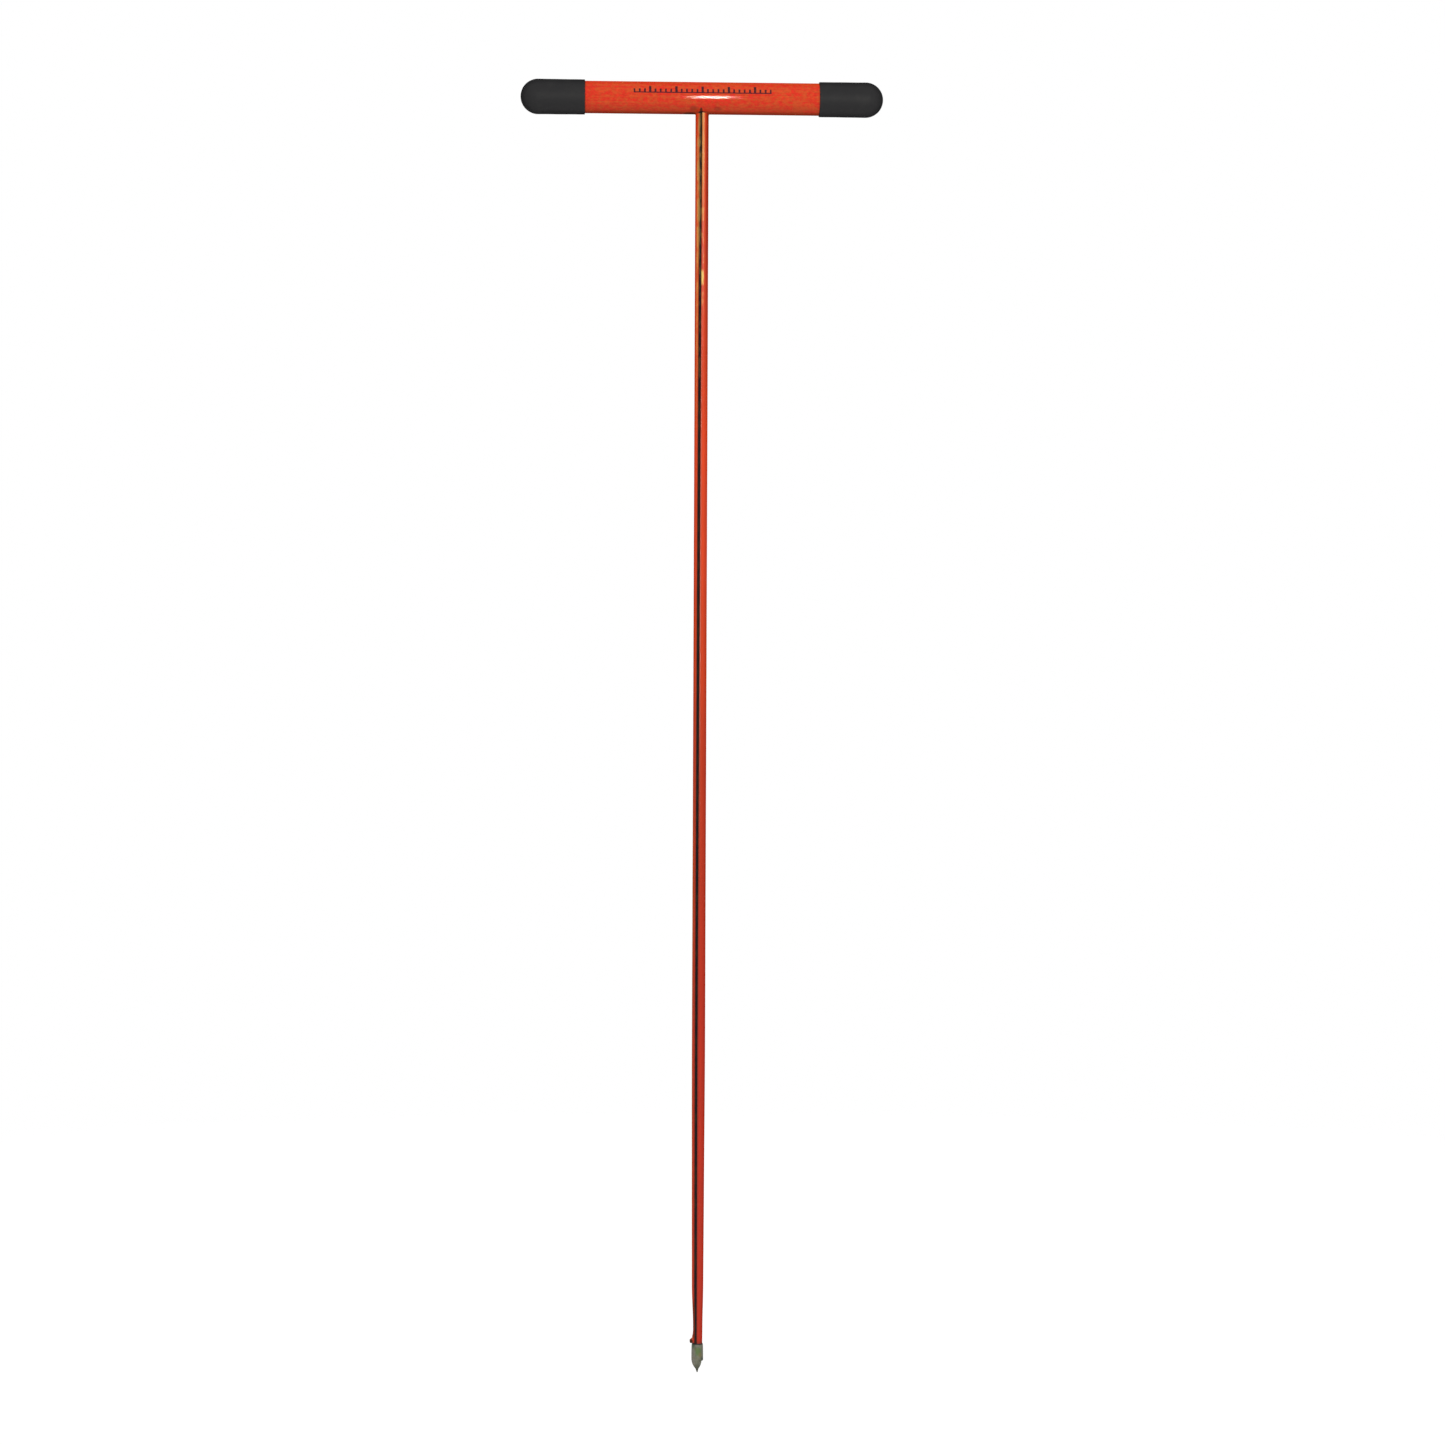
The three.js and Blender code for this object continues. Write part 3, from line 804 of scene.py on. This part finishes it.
def paint_shaft():
    """Glossy rod: lengthwise fibres, a black groove with marks beside it and a worn lower end.

    The marks are painted shade along both sides of the groove, painted highlights in yellow-orange
    beside it near the top and along the lower left edge, olive-yellow marks on its upper left lip, a
    painted yellow glint on its right lip, painted shade in a deeper red towards the right rim, and
    painted shade under the torn lip.
    """
    p = Paint("shaft_finish")
    fibre = p.noise(420, 3, 0.6, (1, 1, 0.012))
    cloud = p.noise(45, 3, 0.55, (1, 1, 0.35))
    speck = p.noise(260, 3, 0.6, (1, 1, 0.30))
    fray = p.noise(1500, 3, 0.6, (1, 1, 0.25))

    down = (SHAFT_TOP - p.z) / (SHAFT_TOP - SHAFT_END)
    upper = p.ramp(down, 0.30, 0.14)
    facing = p.x.math("ARCTAN2", p.x, p.y * -1) * (180 / math.pi)
    eased = down.math("SINE", down * (math.pi / 2))
    turned = eased * (GROOVE_TURN_BOTTOM - GROOVE_TURN_TOP) + GROOVE_TURN_TOP
    offset = facing + turned
    radius = p.from_axis()
    widened = p.slope(p.z, SHAFT_END, SHAFT_END + TAPER_LENGTH)
    widened = widened.math("POWER", widened, TAPER_POWER)
    surface = SHAFT_END_RADIUS + (SHAFT_RADIUS - SHAFT_END_RADIUS) * widened
    across = abs(offset) * surface * (math.pi / 180)
    groove = p.ramp(across, GROOVE_WIDTH / 2 + 0.00008, GROOVE_WIDTH / 2 - 0.00010)
    worn = p.ramp(surface - radius, 0.00016, 0.00070) * p.ramp(offset, 5, -5)
    proud = p.ramp(radius - surface, 0.0002, 0.0008)

    tone = 0.99 + 0.16 * fibre + 0.20 * cloud
    # Darker towards the lower end and just below the handle, and painted shade in a band that damps the
    # rod_box lamp's highlight.
    tone = tone - p.ramp(down, 0.24, 0.62, 0, 0.42)
    tone = tone - p.ramp(down, 0.14, 0.04, 0, 0.10)
    tone = tone - p.ramp(abs(down - SHADED_SHARE_DOWN), 0.10, 0.04, 0, 0.12)
    colour = p.scaled(p.mix(SHAFT_ORANGE, SHAFT_RED, p.ramp(down, 0.45, 0.80)), tone)

    # Painted shade: a deeper red towards the right rim, strongest at the top.
    rim_shade_share = 0.25 + 0.70 * p.ramp(down, 0.28, 0.08) + 0.15 * p.ramp(down, 0.42, 0.60)
    rim = p.ramp(offset, 38, 60) * p.ramp(offset, 175, 110) * rim_shade_share
    colour = p.mix(colour, SHAFT_RIM_SHADE, rim)

    # Painted highlights in yellow-orange: left of the groove near the top, right of it near the top
    # with glints lower down, and along the lower left edge.
    left_highlight = p.ramp(abs(offset - HIGHLIGHT_ANGLE), 15, 5) * upper * p.ramp(down, 0.02, 0.055)
    colour = p.mix(colour, SHAFT_HIGHLIGHT, left_highlight * p.ramp(speck, 0.36, 0.60, 0.15, 0.80))
    thin = p.ramp(offset, 40, 28) * p.ramp(offset, 6, 12)
    colour = p.mix(colour, SHAFT_HIGHLIGHT, thin * p.ramp(down, 0.12, 0.05) * (0.42 + 0.60 * speck))
    right_glints = p.ramp(down, 0.20, 0.15) * p.ramp(speck, 0.48, 0.62, 0, 0.8)
    colour = p.mix(colour, SHAFT_HIGHLIGHT, thin * right_glints)
    edge = p.ramp(offset, -24, -52) * p.ramp(offset, -145, -85) * p.ramp(down, 0.45, 0.70)
    colour = p.mix(colour, SHAFT_HIGHLIGHT, edge * 0.28)

    # Painted shade along both sides of the groove, broader and darker on its right, weaker near the
    # top.
    right = p.ramp(offset, 34, 10) * p.ramp(offset, 0, 4) * (0.55 - 0.40 * upper)
    left = p.ramp(offset, -28, -12) * p.ramp(offset, 0, -4) * (0.40 - 0.20 * upper)
    colour = p.mix(colour, SOIL_AND_SHADE, (right + left) * (0.6 + 0.7 * fibre))
    # Painted glint: a yellow spot on the groove's right lip.
    from_lip_glint = abs(p.z - LIP_GLINT_HEIGHT)
    lip_glint = p.ramp(from_lip_glint, 0.0085, 0.0050) * p.ramp(offset, 8, 15) * p.ramp(offset, 38, 30)
    colour = p.mix(colour, GLINT_YELLOW, lip_glint * p.ramp(speck, 0.30, 0.55, 0.35, 0.95))
    colour = p.mix(colour, WORN_ORANGE, worn * 0.85)

    dust = p.ramp(speck, 0.40, 0.66) * (0.12 + 0.78 * upper) * p.ramp(offset, 8, -8, 0.45, 1)
    colour = p.mix(colour, p.mix(GROOVE_BLACK, GROOVE_DUST, dust), groove)
    # Olive-yellow marks along the groove's upper left lip.
    lip_marks = p.ramp(abs(offset - LIP_MARK_ANGLE), 9, 4) * p.ramp(down, 0.145, 0.10)
    colour = p.mix(colour, LIP_OLIVE, lip_marks * p.ramp(speck, 0.36, 0.60, 0.30, 0.85))

    colour = p.mix(colour, WORN_ORANGE, proud * 0.95)
    # Painted shade: the underside of the torn lip is dark.
    ragged = fray - 0.5
    low_down = p.ramp(p.z + 0.003 * ragged, SHAFT_END + 0.0042, SHAFT_END + 0.0024)
    burr = p.ramp(proud + 0.9 * ragged, 0.25, 0.85) * low_down
    colour = p.mix(colour, SOIL_AND_SHADE, burr * 0.95)
    end = p.ramp(p.z, SHAFT_END + 0.004, SHAFT_END, 0, 0.55)
    colour = p.mix(colour, SOIL_AND_SHADE, end * (0.4 + 0.8 * cloud))
    return p.finish(
        Base_Color=colour,
        Roughness=0.5,
        Specular_IOR_Level=0.0,
        Coat_Weight=p.gloss(0.32 * (1 - groove) * (1 - worn) * (1 - burr)),
        Coat_Roughness=0.18,
        Normal=p.bump(0.7 * fibre + 0.3 * speck, 0.00006, 0.4),
    )


def paint_cap():
    """Dull black vinyl: a fine pebbled skin and faint clouding."""
    p = Paint("cap_finish")
    pebble = p.noise(1400, 3, 0.55)
    cloud = p.noise(80, 3, 0.5)
    dusty = p.ramp(cloud, 0.45, 0.8, 0, 0.4) + 0.12 * pebble
    return p.finish(
        Base_Color=p.mix(CAP_BLACK, CAP_DUST, dusty),
        Roughness=p.ramp(cloud, 0.3, 0.7, 0.58, 0.70),
        Specular_IOR_Level=0.0,
        Coat_Weight=p.gloss(0.15),
        Coat_Roughness=0.5,
        Normal=p.bump(pebble, 0.00010, 0.45),
    )


def paint_resin():
    """Resin, glassy and cloudy: it shows the orange under it, and is dark over the groove."""
    p = Paint("resin_finish")
    cloud = p.noise(500, 3, 0.6)
    over_groove = p.ramp(abs(p.x - RESIN_GROOVE_PLACE), 0.0028, 0.0012) * p.ramp(p.y, 0, -0.003)
    colour = p.mix(RESIN_AMBER, RESIN_BROWN, p.ramp(cloud, 0.40, 0.70))
    colour = p.mix(colour, RESIN_DARK, over_groove)
    return p.finish(
        Base_Color=colour,
        Roughness=p.ramp(cloud, 0.3, 0.7, 0.22, 0.45),
        Specular_IOR_Level=0.0,
        Coat_Weight=p.gloss(0.2),
        Coat_Roughness=0.15,
        Normal=p.bump(cloud, 0.0002, 0.5),
    )


def turning_rings(p, spacing):
    """Lathe marks: fine noise along the axis that hardly changes round it."""
    return p.noise(1 / spacing, 3, 0.65, (0.06, 0.06, 1))


def paint_point():
    """Turned, oiled steel, olive grey, with a green and a rusty stain, and dark at its very end.
    Painted light lightens its upper left, and painted shade darkens its upper left corner, the step and
    the foot on its right, the cone's right side and both sides.
    """
    p = Paint("point_finish")
    rings = turning_rings(p, 0.00035)
    cloud = p.noise(300, 4, 0.65)
    oil = p.noise(430, 3, 0.6, (1, 1, 0.8))
    patchy = 0.007 * (oil - 0.5)
    colour = p.scaled(STEEL, 0.12 + 0.40 * rings + 1.20 * cloud)
    # Painted light: the upper left of the barrel is lighter and greyer.
    pale = p.ramp(p.x, -0.0014, -0.0032) * p.ramp(p.z, TIP_TOP - 0.003, TIP_TOP - 0.005)
    colour = p.mix(colour, STEEL_LIT_PALE, pale * (0.4 + 0.6 * cloud))
    stain = p.ramp(p.spot(*GREEN_STAIN) + 2.4 * oil, 2.5, 1.3, 0, 0.95)
    colour = p.mix(colour, STEEL_GREEN, stain)
    rust = p.ramp(p.spot(*RUST_STAIN) + 1.2 * cloud, 1.7, 0.6, 0, 0.8)
    colour = p.mix(colour, STEEL_RUST, largest(rust, p.ramp(oil, 0.46, 0.34, 0, 0.5)))
    # Painted shade: a dark green upper left corner.
    top_left = p.ramp(p.x + patchy, -0.0010, -0.0038)
    corner = top_left * p.ramp(p.z - patchy, TIP_TOP - 0.0040, TIP_TOP - 0.0010)
    colour = p.mix(colour, STEEL_CORNER_SHADE, corner * 0.8)

    # Painted shade: a shadow under the step and the foot on the right, a darker right side of the cone
    # and darker sides. The very end is darker too.
    from_step = abs(p.z - STEP_SHADOW_HEIGHT)
    step = p.ramp(from_step, 0.0009, 0.0004, 0, 0.6) * p.ramp(p.x, 0.0005, 0.0030)
    from_heel = abs(p.z - HEEL_HEIGHT) + patchy
    heel_shadow = p.ramp(p.x + patchy, 0.0022, 0.0044) * p.ramp(from_heel, 0.0034, 0.0008, 0, 0.95)
    end = p.ramp(p.z, POINT + 0.0095, POINT + 0.0040, 0, 0.80)
    cone_right_shade = p.ramp(p.x, -0.0002, 0.0020) * p.ramp(p.z, POINT + 0.0098, POINT + 0.0075, 0, 0.35)
    flank_shade = p.ramp(abs(p.x), 0.0036, 0.0056, 0, 0.25) * (0.4 + 1.0 * cloud)
    colour = p.mix(colour, STEEL_DARK_OIL_AND_SHADE, largest(step, heel_shadow, end, cone_right_shade, flank_shade))
    return p.finish(
        Base_Color=colour,
        Metallic=0.55,
        Roughness=0.38 + 0.20 * cloud,
        Specular_IOR_Level=0.15,
        Normal=p.bump(rings, 0.00010, 0.6),
    )


def paint_stud():
    """Bright rolled thread with a trace of oil in its roots."""
    p = Paint("stud_finish")
    cloud = p.noise(300, 3, 0.6)
    crest = STUD_RADIUS - THREAD_DEPTH * 0.4
    root = p.ramp(p.from_axis(), crest, STUD_RADIUS - THREAD_DEPTH, 0, 0.7)
    return p.finish(
        Base_Color=p.mix(p.scaled(STUD_STEEL, 0.8 + 0.4 * cloud), STEEL_DARK_OIL_AND_SHADE, root),
        Metallic=1.0,
        Roughness=0.26 + 0.22 * cloud,
        Normal=p.bump(turning_rings(p, 0.0002), 0.00003, 0.4),
    )


def paint_washer():
    """Dark sealing fibre with short hairs in it."""
    p = Paint("ring_finish")
    hair = p.noise(1800, 3, 0.6, (1, 1, 3))
    return p.finish(
        Base_Color=p.scaled(WASHER_DARK, 0.6 + 0.9 * hair),
        Roughness=0.70 + 0.15 * hair,
        Normal=p.bump(hair, 0.00008, 0.6),
    )


def paint_core():
    """Cast nylon with faint turning marks."""
    p = Paint("core_finish")
    marks = p.noise(2200, 2, 0.5, (1, 0.1, 0.1))
    return p.finish(
        Base_Color=p.scaled(CORE_NYLON, 0.9 + 0.2 * marks),
        Roughness=0.5 + 0.1 * marks,
        Normal=p.bump(marks, 0.00005, 0.4),
    )


def dress(piece, body, slot, material, *nodes):
    """Gives a piece its finish and its body, and hides the nodes that it stands for. The slot is not
    used.
    """
    piece.data.materials.append(material)
    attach(piece, body)
    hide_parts(*nodes)


# Studio

FLOOR_DROP = 0.03
FLOOR_MIDDLE = 0.02
FLOOR_RADIUS = 2.6
FLOOR_FADE_START = 1.5
FLOOR_FADE_END = 2.5
FLOOR_GREY = (0.86, 0.86, 0.86, 1)
FLOOR_GLOW = 1.14
FLOOR_WHITE_SHARE = 0.72
WHITE = (1, 1, 1, 1)
ROOM_HEIGHTS = (-0.75, 0.9)  # of a direction, where the room's light is least and most
ROOM_LIGHT = (0.09, 0.66)
CREAM_LIGHT = (1, 0.97, 0.86)


def seen_directly(tree):
    """1 for rays from the camera, a gloss or a clear surface, which see the plain white room."""
    outputs = tree.nodes.new("ShaderNodeLightPath").outputs
    names = ("Is Camera Ray", "Is Glossy Ray", "Is Transmission Ray")
    return largest(*(Wire(tree, outputs[name]) for name in names))


def make_room():
    """World: white where it is seen, and for the light it gives, brighter overhead than below."""
    world = bpy.data.worlds.new("room")
    world.use_nodes = True
    tree = world.node_tree
    tree.nodes.clear()
    direction = add_node(tree, "ShaderNodeTexCoord", {}, output="Generated")
    height = add_node(tree, "ShaderNodeSeparateXYZ", {}, direction, output="Z")
    settings = {"interpolation_type": "SMOOTHSTEP"}
    level = add_node(tree, "ShaderNodeMapRange", settings, height, *ROOM_HEIGHTS, *ROOM_LIGHT)
    light = add_node(tree, "ShaderNodeBackground", {}, WHITE, level)
    white = add_node(tree, "ShaderNodeBackground", {}, WHITE, 1.0)
    both = add_node(tree, "ShaderNodeMixShader", {}, seen_directly(tree), light, white)
    output = tree.nodes.new("ShaderNodeOutputWorld")
    tree.links.new(both.socket, output.inputs["Surface"])
    bpy.context.scene.world = world


def make_floor():
    """Round pale floor below the point, which fades out at its rim and keeps a faint shadow."""
    profile = np.array([[r, POINT - FLOOR_DROP] for r in np.linspace(FLOOR_MIDDLE, FLOOR_RADIUS, 12)])
    grid = revolved(profile, 96)
    rows, columns = grid.shape[:2]
    numbers = np.arange(rows * columns).reshape(rows, columns)
    faces = joined(numbers[1:], numbers[:-1]) + [numbers[0].tolist()]
    floor = make_piece("floor", grid.reshape(-1, 3), faces)
    p = Paint("floor_finish")
    matt = p.add("ShaderNodeBsdfDiffuse", {}, FLOOR_GREY)
    white = p.add("ShaderNodeEmission", {}, WHITE, FLOOR_GLOW)
    white_share = seen_directly(p.tree) * FLOOR_WHITE_SHARE
    shown = p.add("ShaderNodeMixShader", {}, white_share, matt, white)
    clear = p.add("ShaderNodeBsdfTransparent", {}, WHITE)
    from_below = p.add("ShaderNodeNewGeometry", {}, output="Backfacing")
    gone = largest(from_below, p.ramp(p.from_axis(), FLOOR_FADE_START, FLOOR_FADE_END))
    p.add_output(p.add("ShaderNodeMixShader", {}, gone, shown, clear))
    floor.data.materials.append(p.material)


def make_lamp(name, place, aim, width, height, power, colour=(1, 1, 1)):
    """Soft rectangular lamp at a place, turned to an aim."""
    data = bpy.data.lights.new(name, "AREA")
    data.shape = "RECTANGLE"
    data.size = width
    data.size_y = height
    data.energy = power
    data.color = colour
    lamp = bpy.data.objects.new(name, data)
    lamp.location = place
    lamp.rotation_euler = (Vector(aim) - Vector(place)).to_track_quat("-Z", "Y").to_euler()
    bpy.context.scene.collection.objects.link(lamp)


make_camera()

dress(make_tube(), "probe_body", "handle_orange", paint_handle(), "handle_tube")
cap_finish = paint_cap()
dress(make_cap("vinyl_cap_right", 1), "probe_body", "cap_black", cap_finish, "end_cap_right")
dress(make_cap("vinyl_cap_left", -1), "probe_body", "cap_black", cap_finish, "end_cap_left")
dress(make_shaft(), "probe_body", "shaft_orange", paint_shaft(), "shaft")
dress(make_resin(), "probe_body", "resin_brown", paint_resin(), "resin_bead")
dress(make_stud(), "probe_body", "stud_steel", paint_stud(), "tip_stud")
dress(make_washer(), "washer", "washer_fibre", paint_washer(), "seal_washer")
dress(make_point(), "tip", "tip_steel", paint_point(), "probe_tip")
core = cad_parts["core_plug"]
core.data.materials.clear()
core.data.materials.append(paint_core())

make_room()
make_floor()
make_lamp("key_box", (-1.3, -2.1, 0.75), (0, 0, -0.35), width=0.9, height=0.9, power=9)
make_lamp("rod_box", (1.08, -1.92, 0.27), (0, 0, -0.05), width=0.95, height=0.34, power=9)
make_lamp("glint_strip", (0.121, -3.1, -0.12), (0, 0, -0.2), width=0.067, height=0.95, power=30,
          colour=CREAM_LIGHT)
make_lamp("back_box", (0.9, 2.4, 0.7), (0, 0, -0.3), width=1.6, height=1.6, power=34)

bpy.context.scene.view_settings.view_transform = "Standard"
bpy.context.view_layer.update()
